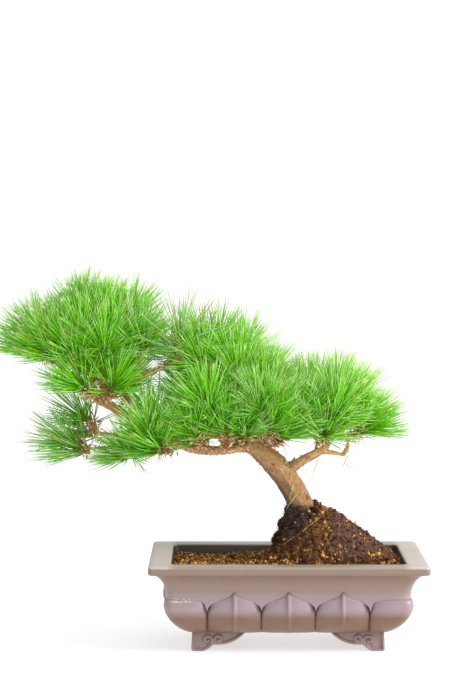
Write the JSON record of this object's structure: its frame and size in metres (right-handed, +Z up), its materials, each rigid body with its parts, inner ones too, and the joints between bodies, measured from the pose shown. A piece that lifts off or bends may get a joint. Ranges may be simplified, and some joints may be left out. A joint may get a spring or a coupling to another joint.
{
  "type": "bonsai tree in a pot",
  "caption": "Pine bonsai with a leaning trunk, long boughs and sprays of needles, on a heaped root ball in a rectangular unglazed pot with lotus-petal relief and bracket feet.",
  "frame": {"origin": "middle of the whole object's box in plan, at the level of the pot's feet", "axes": "+X to the right along the pot's long front, +Y from its front to its back, +Z up"},
  "size_m": [0.4878, 0.2326, 0.4151],
  "materials": {
    "clay": "matte",
    "soil": "matte",
    "root_soil": "matte",
    "bark": "matte",
    "foliage": "satin",
    "mesh_plastic": "matte"
  },
  "bodies": {
    "root": {"pot": "clay", "drainage_mesh_left": "mesh_plastic", "drainage_mesh_right": "mesh_plastic", "soil_bed": "soil", "root_ball": "root_soil", "trunk": "bark", "needle_spray_01": "foliage", "needle_spray_02": "foliage", "needle_spray_03": "foliage", "needle_spray_04": "foliage", "needle_spray_05": "foliage", "needle_spray_06": "foliage", "needle_spray_07": "foliage", "needle_spray_08": "foliage", "needle_spray_09": "foliage", "needle_spray_10": "foliage", "needle_spray_11": "foliage", "needle_spray_12": "foliage", "needle_spray_13": "foliage", "needle_spray_14": "foliage", "needle_spray_15": "foliage", "needle_spray_16": "foliage", "needle_spray_17": "foliage", "needle_spray_18": "foliage", "needle_spray_19": "foliage", "needle_spray_20": "foliage", "needle_spray_21": "foliage", "needle_spray_22": "foliage", "needle_spray_23": "foliage", "needle_spray_24": "foliage", "needle_spray_25": "foliage", "needle_spray_26": "foliage", "needle_spray_27": "foliage", "needle_spray_28": "foliage", "needle_spray_29": "foliage", "needle_spray_30": "foliage", "needle_spray_31": "foliage", "needle_spray_32": "foliage", "needle_spray_33": "foliage", "needle_spray_34": "foliage", "needle_spray_35": "foliage", "needle_spray_36": "foliage", "needle_spray_37": "foliage", "needle_spray_38": "foliage", "needle_spray_39": "foliage", "needle_spray_40": "foliage", "needle_spray_41": "foliage", "needle_spray_42": "foliage", "needle_spray_43": "foliage", "needle_spray_44": "foliage", "needle_spray_45": "foliage", "needle_spray_46": "foliage", "needle_spray_47": "foliage", "needle_spray_48": "foliage", "needle_spray_49": "foliage", "needle_spray_50": "foliage", "needle_spray_51": "foliage", "needle_spray_52": "foliage", "needle_spray_53": "foliage", "needle_spray_54": "foliage"}
  },
  "joints": []
}
